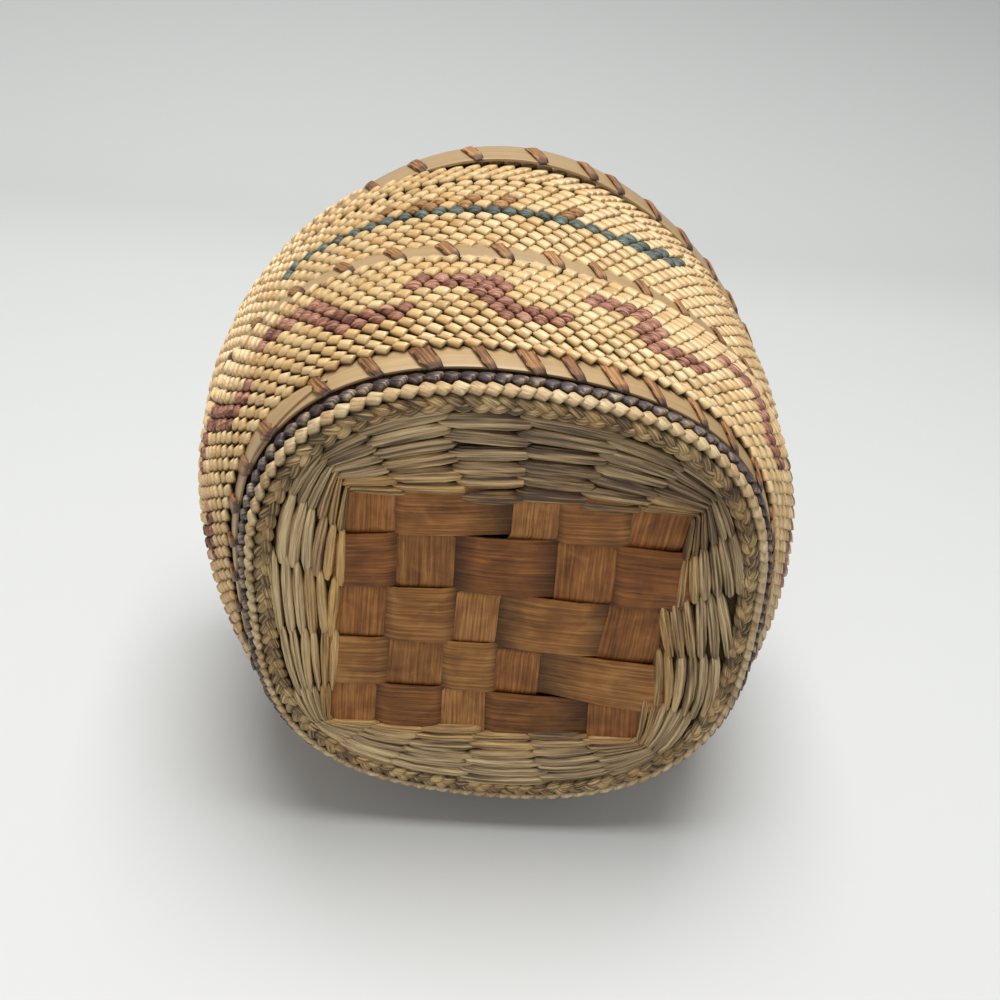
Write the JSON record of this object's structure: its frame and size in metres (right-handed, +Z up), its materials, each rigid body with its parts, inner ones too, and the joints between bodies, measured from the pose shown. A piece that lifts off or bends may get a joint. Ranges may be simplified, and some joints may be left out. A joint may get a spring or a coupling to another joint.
{
  "type": "lidded basket",
  "caption": "Small round twined basket with a plaited cedar base, splint hoops lashed round its walls and a lift-off lid.",
  "frame": {"origin": "centre of the bounding box's lower face: the middle of the base, on the plane that the cord round the base stands on", "axes": "+Z up along the basket's axis, +X and +Y along the strips of the base plait"},
  "size_m": [0.0888, 0.0904, 0.0559],
  "materials": {
    "cedar_bark": "matt brown cedar bark with a fibrous grain along each strip",
    "grey_grass": "dull grey-tan twined grass",
    "straw": "straw-coloured wrapped twining with a faint sheen",
    "dark_grass": "purple-black dyed grass",
    "splint": "smooth pale split root or wood, slightly glossy",
    "lashing_bark": "narrow brown cedar-bark strand"
  },
  "bodies": {
    "basket": {"body_wall": "straw", "base_warp_1": "cedar_bark", "base_warp_2": "cedar_bark", "base_warp_3": "cedar_bark", "base_warp_4": "cedar_bark", "base_warp_5": "cedar_bark", "base_weft_1": "cedar_bark", "base_weft_2": "cedar_bark", "base_weft_3": "cedar_bark", "base_weft_4": "cedar_bark", "base_weft_5": "cedar_bark", "base_border": "grey_grass", "base_edge_cord": "grey_grass", "light_course": "straw", "dark_course": "dark_grass", "rim_cord": "grey_grass", "lower_hoop": "splint", "lower_lashing": "lashing_bark", "middle_hoop": "splint", "middle_lashing": "lashing_bark"},
    "lid": {"lid_shell": "straw", "lid_warp_1": "cedar_bark", "lid_warp_2": "cedar_bark", "lid_warp_3": "cedar_bark", "lid_weft_1": "cedar_bark", "lid_weft_2": "cedar_bark", "lid_weft_3": "cedar_bark", "lid_hoop": "splint", "lid_lashing": "lashing_bark"}
  },
  "joints": [
    {"name": "lid_lift", "type": "slide", "parent": "basket", "child": "lid", "axis": [0, 0, 1], "range_m": [0, 0.05]}
  ]
}
